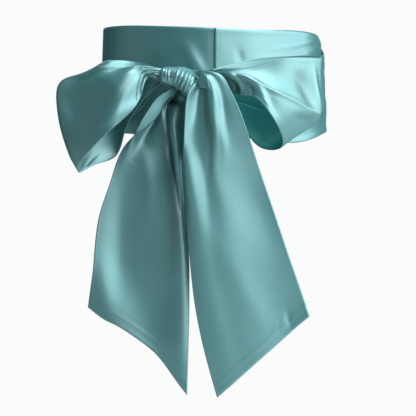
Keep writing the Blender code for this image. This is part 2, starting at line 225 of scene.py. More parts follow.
# sews a surface into a cloth piece: folds, gathers, turnings and rounded edges
def clothPiece(piece):
    grid = piece["surface"](piece)
    outwards = piece["outwards"]
    normal = normalsOf(grid, outwards)
    shift = foldShift(grid, piece["folds"])
    # painted highlight on narrow ridges and painted shade in narrow hollows, plus the painted strokes
    paintedShadingTone = foldShift(grid, [fold for fold in piece["folds"] if fold[1] < foldShape["paintedShadingWidth"]])
    paintedShadingTone += foldShift(grid, [paintedStroke + (0.0,) for paintedStroke in piece.get("paintedShades", ())])
    size, height, seed = piece["ripple"]
    uneven = ripple(grid, size, height, seed)
    if "gathers" in piece:
        uneven += gathers(grid, piece["gathers"], seed)
    grid = grid + normal * (shift + uneven)[:, :, None]
    along = laidLength(grid, 0)
    across = laidLength(grid, 1)
    fromEdge = np.minimum(across, across[:, -1:] - across)
    fromHem = fromEdge + (0.0 if piece.get("sideHems", True) else strip["plainEdge"])
    if "tuckEnds" in piece:
        for end, depth in zip((along, along[-1:] - along), piece["tuckEnds"]):
            grid = grid - normal * (depth * np.exp(-((end / strip["tuckReach"]) ** 2)))[:, :, None]
    for end, inset in zip((along, along[-1:] - along), piece["hemEnds"]):
        if inset:
            fromEdge = np.minimum(fromEdge, end * strip["hemInset"] / inset)
            fromHem = np.minimum(fromHem, end * strip["hemInset"] / inset)
    hem = np.exp(-(((fromHem - strip["hemInset"]) / strip["hemLine"]) ** 2))
    inHem = np.clip(strip["hemInset"] - fromHem, 0, 1)
    roll = np.exp(-((fromEdge / strip["edgeReach"]) ** 2))
    half = strip["wall"] / 2 + strip["edgeRoll"] / 2 * roll
    half = half + strip["hemStep"] * (hem + strip["hemPlateau"] * inHem)
    tip = np.sqrt(np.clip(fromEdge / strip["tipReach"], strip["tipLeast"], 1))
    normal = normalsOf(grid, outwards)
    outer = grid + normal * (half * tip)[:, :, None]
    inner = grid - normal * (half * tip)[:, :, None]
    buildShell(piece, outer, inner, along, across, paintedShadingTone)


# joins the two faces of the cloth round their rim, and dresses the piece
def buildShell(piece, outer, inner, along, across, paintedShadingTone):
    rows, columns, _ = outer.shape
    count = rows * columns
    points = np.concatenate([outer.reshape(-1, 3), inner.reshape(-1, 3)]) * mm
    index = np.arange(count).reshape(rows, columns)
    quads = np.stack([index[:-1, :-1], index[:-1, 1:], index[1:, 1:], index[1:, :-1]], axis=-1)
    quads = quads.reshape(-1, 4)
    rim = np.concatenate([index[0, :], index[1:, -1], index[-1, -2::-1], index[-2:0:-1, 0]])
    following = np.roll(rim, -1)
    sides = np.stack([rim, rim + count, following + count, following], axis=-1)
    if piece["outwards"] < 0:
        quads = quads[:, ::-1]
        sides = sides[:, ::-1]
    faces = np.concatenate([quads, quads[:, ::-1] + count, sides])
    mesh = bpy.data.meshes.new(piece["name"])
    mesh.from_pydata(points.tolist(), [], faces.tolist())
    mesh.shade_smooth()
    cut = [across, along] if piece.get("weaveTurned") else [along, across]   # warp first
    uvs = np.stack(cut, axis=2).reshape(-1, 2) * mm
    uvs = np.concatenate([uvs, uvs])
    loops = np.empty(len(mesh.loops), dtype=np.int32)
    mesh.loops.foreach_get("vertex_index", loops)
    layer = mesh.uv_layers.new(name="cut")
    layer.uv.foreach_set("vector", uvs[loops].astype(np.float32).ravel())
    # the painted shade and painted highlight go to the material as a point attribute
    paintedShadingAttr = mesh.attributes.new("paintedShadingAttr", "FLOAT", "POINT")
    paintedShadingTone = np.clip(paintedShadingTone / foldShape["paintedShadingHeight"], -1, 1).ravel()
    paintedShadingAttr.data.foreach_set("value", np.concatenate([paintedShadingTone, paintedShadingTone]).astype(np.float32))
    obj = bpy.data.objects.new(piece["name"], mesh)
    bpy.context.scene.collection.objects.link(obj)
    obj.data.materials.append(satinOf(piece["finish"]))
    if "inside" in piece:
        # the inner layer of a loop, below this share of its width, gets a material with painted shade
        finish, above = piece["inside"]
        obj.data.materials.append(satinOf(finish))
        column = np.tile(np.arange(columns - 1), rows - 1) / (columns - 1)
        slots = np.zeros(len(mesh.polygons), dtype=np.int32)
        slots[len(quads):2 * len(quads)] = column > above
        mesh.polygons.foreach_set("material_index", slots)
    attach(obj, "root")
    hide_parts(piece["replaces"])
    print(piece["name"], "sewn:", round(float(along[-1].mean())), "mm long,",
          round(float(across[:, -1].mean())), "mm wide,", len(mesh.polygons), "faces")


satinFinish = {
    # deep is the colour of painted shade, pale the colour of painted highlight, mid the cloth's own colour
    "deep": (0.003, 0.05, 0.052),
    "inside": (0.008, 0.22, 0.22),   # painted shade inside a loop, as cloth lit only by cloth
    "mid": (0.082, 0.275, 0.29),
    "pale": (0.16, 0.38, 0.41),
    "roughness": 0.45,
    "metallic": 0.45,
    "anisotropic": 0.55,
    "ior": 2.2,
    "specular": 0.75,
    "specularTint": (0.86, 0.97, 1.0),
    "sheen": 0.1,
    "sheenRoughness": 0.35,
    "sheenTint": (0.75, 0.97, 1.0),
    "threadPitch": 0.00022,   # metres
    "floatThreads": 5.0,      # a warp thread floats over this many
    "floatStagger": 0.4,      # how far each next one is shifted along
    "tieLength": 0.18,        # share of the float where it is tied down
    "tieDepth": 0.35,
    "weaveDepth": 0.25,
    "weaveHeight": 0.00003,
    "crinkle": 0.12,
    "crinkleScale": 70.0,
    "crinkleDetail": 3.0,
    "crinkleHeight": 0.001,
    "cloudScale": 14.0,       # the slow cast over the whole sash
    "cloudDetail": 2.0,
    "cast": 0.25,
    "castInRoughness": 0.4,
    "paintedShadeShare": 0.8,         # share of the deep colour at full painted shade
    "paintedHighlightShare": 0.7,            # share of the pale colour at full painted highlight
}


def newGroup(name, inputs, outputs):
    group = bpy.data.node_groups.new(name, "ShaderNodeTree")
    for socket, kind, value in inputs:
        made = group.interface.new_socket(socket, in_out="INPUT", socket_type="NodeSocket" + kind)
        if value is not None:
            made.default_value = value
    for socket, kind in outputs:
        group.interface.new_socket(socket, in_out="OUTPUT", socket_type="NodeSocket" + kind)
    return group, group.nodes.new("NodeGroupInput"), group.nodes.new("NodeGroupOutput")


def mathNode(tree, operation, *values):
    node = tree.nodes.new("ShaderNodeMath")
    node.operation = operation
    for socket, value in zip(node.inputs, values):
        if isinstance(value, (int, float)):
            socket.default_value = value
        else:
            tree.links.new(value, socket)
    return node.outputs[0]


# five-end satin: long floats along the strip, each tied down once in five threads
def makeWeaveGroup():
    inputs = [("Cut", "Vector", None), ("Pitch", "Float", satinFinish["threadPitch"])]
    tree, given, result = newGroup("satinWeave", inputs, [("Height", "Float")])
    parts = tree.nodes.new("ShaderNodeSeparateXYZ")
    tree.links.new(given.outputs["Cut"], parts.inputs[0])
    alongThreads = mathNode(tree, "DIVIDE", parts.outputs[0], given.outputs["Pitch"])
    acrossThreads = mathNode(tree, "DIVIDE", parts.outputs[1], given.outputs["Pitch"])
    thread = mathNode(tree, "FLOOR", acrossThreads)
    fromMiddle = mathNode(tree, "SUBTRACT", mathNode(tree, "FRACT", acrossThreads), 0.5)
    crown = mathNode(tree, "SUBTRACT", 1.0, mathNode(tree, "MULTIPLY", fromMiddle, fromMiddle))
    stagger = mathNode(tree, "MULTIPLY", thread, satinFinish["floatStagger"])
    floats = mathNode(tree, "DIVIDE", alongThreads, satinFinish["floatThreads"])
    alongFloat = mathNode(tree, "FRACT", mathNode(tree, "ADD", floats, stagger))
    tie = mathNode(tree, "LESS_THAN", alongFloat, satinFinish["tieLength"])
    height = mathNode(tree, "SUBTRACT", crown, mathNode(tree, "MULTIPLY", tie, satinFinish["tieDepth"]))
    tree.links.new(height, result.inputs["Height"])
    return tree


# painted shade deepens the colour and painted highlight pales it, each finish adds its own painted lean, and
# a slow uneven cast varies it at random
def makeCastAndPaintedShadingGroup():
    inputs = [("Place", "Vector", None), ("PaintedLightAndShade", "Float", 0.0), ("Deep", "Color", None),
              ("Mid", "Color", None), ("Pale", "Color", None), ("Cast", "Float", satinFinish["cast"]),
              ("PaintedLean", "Float", 0.0)]
    tree, given, result = newGroup("satinCastAndPaintedShading", inputs, [("Colour", "Color"), ("Rough", "Float")])
    cloud = tree.nodes.new("ShaderNodeTexNoise")
    cloud.inputs["Scale"].default_value = satinFinish["cloudScale"]
    cloud.inputs["Detail"].default_value = satinFinish["cloudDetail"]
    tree.links.new(given.outputs["Place"], cloud.inputs["Vector"])
    drift = mathNode(tree, "SUBTRACT", cloud.outputs["Fac"], 0.5)
    cast = mathNode(tree, "MULTIPLY", drift, given.outputs["Cast"])
    paintedShadingAndCast = mathNode(tree, "ADD", given.outputs["PaintedLightAndShade"], cast)
    level = mathNode(tree, "ADD", paintedShadingAndCast, given.outputs["PaintedLean"])
    below = mathNode(tree, "MAXIMUM", mathNode(tree, "MULTIPLY", level, -1.0), 0.0)
    above = mathNode(tree, "MAXIMUM", level, 0.0)
    down = mathNode(tree, "MINIMUM", mathNode(tree, "MULTIPLY", below, satinFinish["paintedShadeShare"]), 1.0)
    up = mathNode(tree, "MINIMUM", mathNode(tree, "MULTIPLY", above, satinFinish["paintedHighlightShare"]), 1.0)
    colour = given.outputs["Mid"]
    for share, other in ((down, "Deep"), (up, "Pale")):
        blend = tree.nodes.new("ShaderNodeMix")
        blend.data_type = "RGBA"
        tree.links.new(share, blend.inputs[0])
        tree.links.new(colour, blend.inputs["A"])
        tree.links.new(given.outputs[other], blend.inputs["B"])
        colour = blend.outputs["Result"]
    tree.links.new(colour, result.inputs["Colour"])
    unevenRough = mathNode(tree, "MULTIPLY", cast, satinFinish["castInRoughness"])
    rough = mathNode(tree, "ADD", satinFinish["roughness"], unevenRough)
    tree.links.new(rough, result.inputs["Rough"])
    return tree


finishes = {
    # paler (+, painted light) or deeper (-, painted shade) than the mid colour, turn of the sheen from the
    # warp, share of the gloss
    "satinCloth": (0.0, 0.25, 1.0),
    # a copy with painted shade
    "satinPaintedShade": (-0.35, 0.25, 1.0),
    # a copy with painted light
    "satinPaintedLight": (0.25, 0.25, 1.0),
    # the weave turned for the hanging tails, with a touch of painted light
    "satinHung": (0.05, 0.0, 1.0),
    # the weave turned, with painted shade
    "satinHungPaintedShade": (-0.35, 0.0, 1.0),
    # painted shade for the fold under the knot, with half the gloss
    "satinFoldPaintedShade": (-0.35, 0.25, 0.5),
    # painted light for the knot
    "satinKnotPaintedLight": (0.85, 0.25, 1.0),
    # painted shade for the inside of a loop, with little gloss
    "satinInsidePaintedShade": (-1.3, 0.25, 0.2),
}

weaveGroup = makeWeaveGroup()
castAndPaintedShadingGroup = makeCastAndPaintedShadingGroup()


# the satin in one of its finishes, some of them copies with painted shade or painted light, made once
def satinOf(name):
    made = bpy.data.materials.get(name)
    if made:
        return made
    made = bpy.data.materials.new(name)
    made.use_nodes = True
    tree = made.node_tree
    shader = tree.nodes["Principled BSDF"]
    cut = tree.nodes.new("ShaderNodeUVMap")
    cut.uv_map = "cut"
    place = tree.nodes.new("ShaderNodeTexCoord")
    # the painted shade and painted highlight of the folds and strokes
    paintedShadingAttr = tree.nodes.new("ShaderNodeAttribute")
    paintedShadingAttr.attribute_name = "paintedShadingAttr"
    paintedShadingTone = tree.nodes.new("ShaderNodeGroup")
    paintedShadingTone.node_tree = castAndPaintedShadingGroup
    for key in ("deep", "mid", "pale"):
        paintedShadingTone.inputs[key.capitalize()].default_value = (*satinFinish[key], 1.0)
    # painted shade: inside a loop the deep colour is a saturated teal
    if name == "satinInsidePaintedShade":
        paintedShadingTone.inputs["Deep"].default_value = (*satinFinish["inside"], 1.0)
    paintedLean, turn, gloss = finishes[name]
    paintedShadingTone.inputs["PaintedLean"].default_value = paintedLean
    tree.links.new(place.outputs["Object"], paintedShadingTone.inputs["Place"])
    tree.links.new(paintedShadingAttr.outputs["Fac"], paintedShadingTone.inputs["PaintedLightAndShade"])
    tree.links.new(paintedShadingTone.outputs["Colour"], shader.inputs["Base Color"])
    tree.links.new(paintedShadingTone.outputs["Rough"], shader.inputs["Roughness"])
    weave = tree.nodes.new("ShaderNodeGroup")
    weave.node_tree = weaveGroup
    weave.inputs["Pitch"].default_value = satinFinish["threadPitch"]
    tree.links.new(cut.outputs["UV"], weave.inputs["Cut"])
    weaveBump = tree.nodes.new("ShaderNodeBump")
    weaveBump.inputs["Strength"].default_value = satinFinish["weaveDepth"]
    weaveBump.inputs["Distance"].default_value = satinFinish["weaveHeight"]
    tree.links.new(weave.outputs["Height"], weaveBump.inputs["Height"])
    crinkle = tree.nodes.new("ShaderNodeTexNoise")
    crinkle.inputs["Scale"].default_value = satinFinish["crinkleScale"]
    crinkle.inputs["Detail"].default_value = satinFinish["crinkleDetail"]
    tree.links.new(place.outputs["Object"], crinkle.inputs["Vector"])
    crinkleBump = tree.nodes.new("ShaderNodeBump")
    crinkleBump.inputs["Strength"].default_value = satinFinish["crinkle"]
    crinkleBump.inputs["Distance"].default_value = satinFinish["crinkleHeight"]
    tree.links.new(crinkle.outputs["Fac"], crinkleBump.inputs["Height"])
    tree.links.new(crinkleBump.outputs["Normal"], weaveBump.inputs["Normal"])
    tree.links.new(weaveBump.outputs["Normal"], shader.inputs["Normal"])
    tangent = tree.nodes.new("ShaderNodeTangent")
    tangent.direction_type = "UV_MAP"
    tangent.uv_map = "cut"
    tree.links.new(tangent.outputs["Tangent"], shader.inputs["Tangent"])
    shader.inputs["Metallic"].default_value = satinFinish["metallic"] * gloss
    shader.inputs["IOR"].default_value = satinFinish["ior"]
    shader.inputs["Specular IOR Level"].default_value = satinFinish["specular"] * gloss
    shader.inputs["Specular Tint"].default_value = (*satinFinish["specularTint"], 1.0)
    shader.inputs["Anisotropic Rotation"].default_value = turn
    shader.inputs["Anisotropic"].default_value = satinFinish["anisotropic"]
    shader.inputs["Sheen Weight"].default_value = satinFinish["sheen"] * gloss
    shader.inputs["Sheen Roughness"].default_value = satinFinish["sheenRoughness"]
    shader.inputs["Sheen Tint"].default_value = (*satinFinish["sheenTint"], 1.0)
    return made


def bandSurface(piece):
    return bandRows(piece["rows"], *piece["grid"])


def loftSurface(piece):
    return loftRows(piece["rows"], *piece["grid"])


print("satin ready")

# The wound band. In each piece, folds are (path, width, height, sharpness), and painted strokes are painted
# highlight (+) or painted shade (-), (path, width, strength in mm of fold). A path is in shares of the
# piece's length and width.
# hemEnds and tuckEnds are how far in a turning ends, and how far under the cloth is tucked, at the start
# and the end. ripple is (size, height, seed). Widths and heights are in mm, flat in metres.
bandLeft = {
    "name": "bandLeft", "replaces": "base_left", "surface": bandSurface, "outwards": 1,
    "grid": (190, 64), "finish": "satinCloth", "hemEnds": (0, 0), "tuckEnds": (0, 0.5),
    "flat": (0.127, 0.37), "held": "stretched", "restsOn": [], "ripple": (46, 0.12, 3),
    # angle from the front, lift off the waist, top, bottom, depth of the gathers
    "rows": (
        (-4, 1.7, 66, -61, 0.0),
        (8, 1.2, 67, -60.5, 0.0),
        (28, 0.0, 69, -59, 0.0),
        (48, 0.0, 71, -56, 0.0),
        (66, 0.0, 71.5, -53, 0.0),
        (90, 0.0, 71, -52, 0.0),
        (115, 0.0, 71, -50, 0.2),
        (140, 0.0, 70, -44, 0.8),
        (158, 0.0, 68, -28, 1.3),
        (170, 0.0, 66, -4, 1.6),
        (180, 2.0, 66, 0.15, 1.6),
    ),
    "folds": (
        (((0.02, 0.05), (0.02, 0.30)), 5, -0.3, 0.0),
        (((0.098, 0.16), (0.078, 0.28), (0.050, 0.44)), 7.5, 2.7, 0.0),
        (((0.15, 0.29), (0.125, 0.22), (0.095, 0.13)), 1.8, 0.6, 0.5),
        (((0.17, 0.30), (0.20, 0.12)), 10, 0.8, 0.0),
        (((0.27, 0.35), (0.36, 0.42)), 6, -0.8, 0.0),
        (((0.45, 0.5), (0.85, 0.3)), 5, -1.0, 0.2),
        (((0.5, 0.75), (0.9, 0.55)), 5, 1.0, 0.2),
    ),
    # painted highlights, along the seam and on the waist's left side
    "paintedShades": (
        (((0.03, 0.0), (0.03, 0.5), (0.03, 1.0)), 3, 4.0),
        (((0.41, 0.0), (0.41, 0.5), (0.41, 1.0)), 22, 3.2),
    ),
}
wrapRight = {
    "name": "wrapRight", "replaces": "outer_right", "surface": bandSurface, "outwards": 1,
    "grid": (230, 64), "finish": "satinPaintedLight", "hemEnds": (0, 0), "tuckEnds": (0.5, 0),
    "flat": (0.094, 0.43), "held": "gathered", "restsOn": ["bandRight"], "ripple": (40, 0.12, 5),
    "rows": (
        (180, 2.0, 66, 0.15, 1.6),
        (190, 5.5, 66, -4, 1.6),
        (202, 6.0, 65, -20, 1.3),
        (225, 3.8, 62, -40, 0.8),
        (250, 1.0, 57, -46, 0.6),
        (270, 0.6, 44, -51, 0.5),
        (290, 1.4, 36, -56, 0.5),
        (303, 3.0, 29, -62, 0.6),
        (313, 4.0, 26, -66, 0.8),
        (324, 4.5, 24, -66, 1.0),
        (342, 5.0, 22, -44, 1.2),
        (354, 7.5, 20, -22, 1.2),
        (363, 13.0, 15, -2, 1.0),
        (371, 19.0, 13, 1, 0.6),
    ),
    "folds": (
        (((0.16, 0.0), (0.30, 0.0), (0.50, 0.0)), 5, -1.3, 0.0),
        (((0.27, 0.13), (0.38, 0.14)), 1.6, 0.4, 0.4),
        (((0.2, 0.3), (0.55, 0.45)), 5, -1.0, 0.2),
        (((0.25, 0.7), (0.6, 0.6)), 5, 1.0, 0.2),
        (((0.45, 0.15), (0.68, 0.3)), 3, 0.8, 0.4),
    ),
}
bandRight = {
    "name": "bandRight", "replaces": "base_right", "surface": bandSurface, "outwards": -1,
    "grid": (190, 64), "finish": "satinPaintedLight", "hemEnds": (0, 0), "tuckEnds": (0, 0.5),
    "flat": (0.127, 0.37), "held": "stretched", "restsOn": [], "ripple": (46, 0.12, 7),
    "rows": (
        (-0.7, 2.9, 66, -61, 0.0),
        (-11, 0.6, 65.2, -61.5, 0.0),
        (-20, 0.0, 64.5, -62, 0.0),
        (-43, 0.0, 65, -62, 0.0),
        (-55, 0.0, 64.5, -61, 0.3),
        (-64, -0.7, 63.5, -58, 0.4),
        (-71, -1.4, 62, -55, 0.5),
        (-82, -2.4, 56, -51, 0.5),
        (-105, -3.6, 52, -48, 0.7),
        (-125, -3.2, 48, -50, 0.8),
        (-150, -1.0, 36, -56, 1.0),
        (-163, 0.0, 22, -58, 1.3),
        (-170, 0.0, 6, -60, 1.6),
        (-174, 0.5, 3.2, -60, 1.6),
        (-177.5, 1.3, 1.5, -60, 1.6),
        (-180, 2.0, -0.15, -60, 1.6),
    ),
    "folds": (
        (((0.068, 0.20), (0.075, 0.30)), 4.5, -0.7, 0.0),
        (((0.15, 0.19), (0.245, 0.145), (0.36, 0.08)), 1.6, 0.35, 0.5),
        (((0.21, 0.23), (0.28, 0.165), (0.385, 0.10)), 1.6, -0.4, 0.4),
        (((0.27, 0.24), (0.40, 0.14)), 2.2, 0.6, 0.3),
        (((0.12, 0.32), (0.2, 0.27)), 6, 0.5, 0.0),
        (((0.45, 0.4), (0.85, 0.3)), 5, -1.0, 0.2),
    ),
    # a painted highlight along the seam
    "paintedShades": (
        (((0.0, 0.0), (0.0, 0.5), (0.0, 1.0)), 2.5, 5.0),
    ),
}
wrapLeft = {
    "name": "wrapLeft", "replaces": "outer_left", "surface": bandSurface, "outwards": -1,
    "grid": (220, 64), "finish": "satinCloth", "hemEnds": (0, 0), "tuckEnds": (0.5, 0),
    "flat": (0.070, 0.39), "held": "gathered", "restsOn": ["bandLeft"], "ripple": (40, 0.12, 9),
    "rows": (
        (-180, 2.0, -0.15, -60, 1.6),
        (-183, 3.1, 1.5, -60, 1.6),
        (-190, 5.5, 4.5, -60, 1.6),
        (-203, 6.0, 14, -58, 1.4),
        (-225, 5.0, 24, -52, 1.2),
        (-250, 4.5, 27, -50, 1.2),
        (-275, 4.0, 27, -52, 1.2),
        (-300, 4.5, 24, -50, 1.2),
        (-315, 8.0, 20, -40, 1.2),
        (-327, 14.5, 18, -24, 1.2),
        (-337, 24.0, 14, -3, 1.0),
        (-343, 30.0, 11, 1, 0.6),
    ),
    "folds": (
        (((0.2, 0.3), (0.55, 0.45)), 5, -1.0, 0.2),
        (((0.25, 0.7), (0.6, 0.6)), 5, 1.0, 0.2),
        (((0.9, 0.2), (0.99, 0.45)), 3, 1.2, 0.3),
    ),
}

# the bow
loopLeft = {
    "name": "loopLeft", "replaces": "loop_left", "surface": loftSurface, "outwards": 1,
    "grid": (220, 100), "finish": "satinPaintedShade", "hemEnds": (0, 0),
    "gathers": (6, 1.1, (22, 26)),
    "flat": (0.100, 0.30), "held": "gathered", "restsOn": ["knotWrap"], "ripple": (42, 0.16, 11),
    # each row is a section across the strip: top edge, upper, middle, lower, bottom edge
    "rows": (
        ((-50, -122, 16), (-50, -123, 13), (-50, -124, 10), (-50, -123, 7), (-50, -122, 4)),
        ((-62, -124, 18), (-62, -125, 14), (-62, -127, 10.5), (-62, -126, 7), (-62, -124, 4)),
        ((-76, -133, 21.5), (-77, -137, 17), (-78, -139, 12.5), (-77, -138, 9), (-74, -133, 6)),
        ((-89, -141, 21.5), (-91, -148, 13), (-93, -150.5, 2), (-88, -146, -6), (-80, -139, -8)),
        ((-103, -141, 19.5), (-109, -151, 4), (-111, -156, -14), (-102, -153, -24), (-88, -147.5, -26)),
        ((-117, -141.5, 16), (-129, -145, 1), (-134, -147, -23), (-124, -157, -41), (-106, -153.5, -45)),
        ((-128, -137, 16), (-150, -136, 2), (-162, -133, -25), (-152, -143, -54), (-134, -153, -71)),
        ((-129.5, -121, 19.5), (-155, -121, 9.5), (-178.5, -122, -4), (-172.5, -126, -60),
         (-157, -125, -98)),
        ((-125, -110, 25), (-145, -105, 13), (-165, -101, -14), (-162, -104, -60), (-153, -117, -103)),
        ((-114, -101, 28), (-129, -104, 8), (-143, -91, -22), (-142, -95.5, -60), (-135, -108.5, -94)),
        ((-99, -97, 28.5), (-111, -103, 8), (-120, -91, -18), (-120, -90, -50), (-112, -100, -83)),
        ((-84.5, -99, 26), (-92, -104, 11), (-98, -98, -8), (-103, -96, -30), (-102, -102, -54)),
        ((-72.5, -107, 21.5), (-75, -110, 13), (-77, -109, 3), (-80, -109, -8), (-82, -110, -20)),
        ((-62, -116, 15), (-62, -116, 12.5), (-62, -116, 9), (-62, -116, 6), (-62, -116, 3)),
        ((-50, -117, 14), (-50, -117, 11.5), (-50, -117, 9), (-50, -117, 6.5), (-50, -117, 4)),
    ),
    "folds": (
        (((0.122, 0.25), (0.147, 0.415), (0.195, 0.54), (0.25, 0.685), (0.312, 0.865), (0.355, 0.945)),
         8, 1.6, 0.0),
        (((0.12, 0.45), (0.14, 0.65), (0.175, 0.78), (0.225, 0.87), (0.285, 0.95)), 7, 1.8, 0.0),
        (((0.10, 0.24), (0.15, 0.33), (0.20, 0.44), (0.26, 0.60)), 6, -1.6, 0.0),
        (((0.08, 0.0), (0.20, 0.0), (0.36, 0.0)), 10, -4.0, 0.0),
        (((0.07, 0.25), (0.125, 0.58), (0.16, 0.755), (0.198, 0.88), (0.23, 0.99)), 1.3, -2.0, 0.4),
        (((0.06, 0.45), (0.11, 0.85), (0.163, 0.94), (0.205, 1.0)), 4, -2.5, 0.0),
        (((0.07, 0.42), (0.12, 0.80), (0.163, 0.90), (0.20, 0.99)), 1.1, 1.0, 0.4),
        (((0.41, 0.065), (0.362, 0.28), (0.395, 0.44), (0.455, 0.63)), 1.3, 0.45, 0.6),
        (((0.15, 0.14), (0.22, 0.11), (0.31, 0.09)), 7, 1.2, 0.0),
        (((0.285, 0.14), (0.25, 0.33)), 7, 0.5, 0.0),
        (((0.52, 0.0), (0.66, 0.0), (0.90, 0.0)), 9, 1.5, 0.0),
        (((0.52, 1.0), (0.60, 1.0), (0.72, 1.0)), 13, -4.5, 0.0),
        (((0.605, 0.99), (0.63, 0.95), (0.665, 0.91)), 1.6, 1.0, 0.4),
        (((0.90, 0.45), (0.68, 0.35)), 8, 2.0, 0.0),
    ),
    # painted highlights on the loop's band, under its lip, on the back wall's top and along the bottom
    "paintedShades": (
        (((0.13, 0.275), (0.152, 0.54), (0.195, 0.66), (0.263, 0.78), (0.338, 0.93)), 6, 1.8),
        (((0.37, 0.02), (0.302, 0.08), (0.245, 0.145), (0.205, 0.185), (0.15, 0.22)), 8, 3.4),
        (((0.56, 0.06), (0.725, 0.06), (0.86, 0.06)), 6, 2.2),
        (((0.58, 0.985), (0.637, 0.98), (0.68, 0.98)), 4, 2.4),
    ),
}
loopRight = {
    "name": "loopRight", "replaces": "loop_right", "surface": loftSurface, "outwards": -1,
    "grid": (220, 100), "finish": "satinCloth", "hemEnds": (0, 0),
    # the loop's inner layer gets painted shade
    "gathers": (6, 1.1, (22, 28)), "inside": ("satinInsidePaintedShade", 0.35),
    "flat": (0.090, 0.34), "held": "gathered", "restsOn": ["knotWrap"], "ripple": (42, 0.16, 13),
    "rows": (
        ((-30, -123, 12), (-30, -124, 9.5), (-30, -124, 7), (-30, -124, 4.5), (-30, -123, 2)),
        ((-19, -123, 14), (-19, -124, 11), (-19, -124.5, 8), (-19, -124, 5), (-19, -123, 2)),
        ((0, -131, 15.5), (0.5, -132, 13), (1, -133, 10), (2, -129.5, 5.5), (3, -124, 0)),
        ((21, -140, 17), (21, -141.5, 13), (21, -144, 8), (22.5, -138, -2), (23, -133, -12.5)),
        ((43, -140, 19.5), (44, -142, 11.5), (45, -147.5, 2.5), (46, -148.5, -8), (44, -149, -15)),
        ((66, -137, 26), (68, -138.5, 11.5), (68, -146.5, -7), (67, -149.5, -21), (59, -152, -28)),
        ((95, -130, 29.5), (98, -131.5, 6), (97, -139, -20), (88, -144, -38), (73, -149, -48.5)),
        ((125.5, -108, 31), (126.5, -107, -1), (127, -111, -34), (105, -120, -54), (79, -126, -71.5)),
        ((107, -97, 33), (112, -91, 4.5), (110, -92, -24), (92, -99, -54), (68.5, -109, -76)),
        ((77.5, -97, 32.5), (82, -92, 9), (82, -92, -15), (68, -95, -46), (52, -102, -71.5)),
        ((48.5, -101, 29.5), (51, -98.5, 12.5), (52, -98.5, -7), (45, -99, -32), (37, -102, -53)),
        ((22, -106, 23), (23, -105.5, 14), (24, -105.5, 1), (23, -105, -15), (22, -106, -30)),
        ((1, -111.5, 17), (1, -111.5, 13), (1, -111.5, 6), (1, -111, -2), (1, -111, -9)),
        ((-17, -116, 12.5), (-17, -116.5, 10), (-17, -116.5, 7), (-17, -116.5, 4), (-17, -116, 1)),
        ((-30, -117, 11), (-30, -117.5, 9), (-30, -117.5, 7), (-30, -117.5, 5), (-30, -117, 3)),
    ),
    "folds": (
        (((0.185, 0.335), (0.203, 0.405), (0.27, 0.505), (0.372, 0.495), (0.422, 0.495), (0.49, 0.495)),
         3.2, 1.5, 0.5),
        (((0.395, 0.20), (0.413, 0.295), (0.427, 0.385), (0.445, 0.46)), 8.5, -3.8, 0.0),
        (((0.446, 0.02), (0.452, 0.24), (0.465, 0.43)), 4, 2.0, 0.0),
        (((0.415, 0.71), (0.445, 0.645), (0.47, 0.56)), 6, -1.8, 0.0),
        (((0.12, 0.55), (0.163, 0.705), (0.177, 0.96)), 4, -4.0, 0.0),
        (((0.15, 0.40), (0.180, 0.565), (0.192, 0.93)), 2, 1.2, 0.0),
        (((0.175, 0.40), (0.215, 0.575), (0.235, 0.96)), 4, -3.0, 0.0),
        (((0.205, 0.40), (0.23, 0.52), (0.255, 0.635), (0.275, 0.795), (0.302, 0.91), (0.343, 0.98),
          (0.41, 1.0)), 4.5, 1.8, 0.2),
        (((0.39, 0.83), (0.485, 0.89)), 9, -1.0, 0.0),
        (((0.22, 1.0), (0.32, 1.0), (0.45, 1.0)), 10, -1.5, 0.0),
        (((0.14, 0.0), (0.26, 0.0), (0.40, 0.0)), 8, -2.5, 0.0),
        (((0.52, 0.0), (0.70, 0.0), (0.92, 0.0)), 8, 4.5, 0.0),
        (((0.83, 0.80), (0.762, 0.685), (0.70, 0.64)), 1.2, 0.7, 0.5),
        (((0.90, 0.50), (0.66, 0.40)), 9, 2.0, 0.0),
    ),
    # painted shade over the top and in the hollow, and a painted highlight by the opening
    "paintedShades": (
        (((0.30, 0.12), (0.37, 0.15), (0.45, 0.15)), 14, -1.0),
        (((0.385, 0.18), (0.40, 0.26), (0.417, 0.37), (0.436, 0.47)), 6.5, -2.2),
        (((0.263, 0.50), (0.28, 0.70), (0.333, 0.88), (0.403, 0.93)), 5, 2.5),
    ),
}
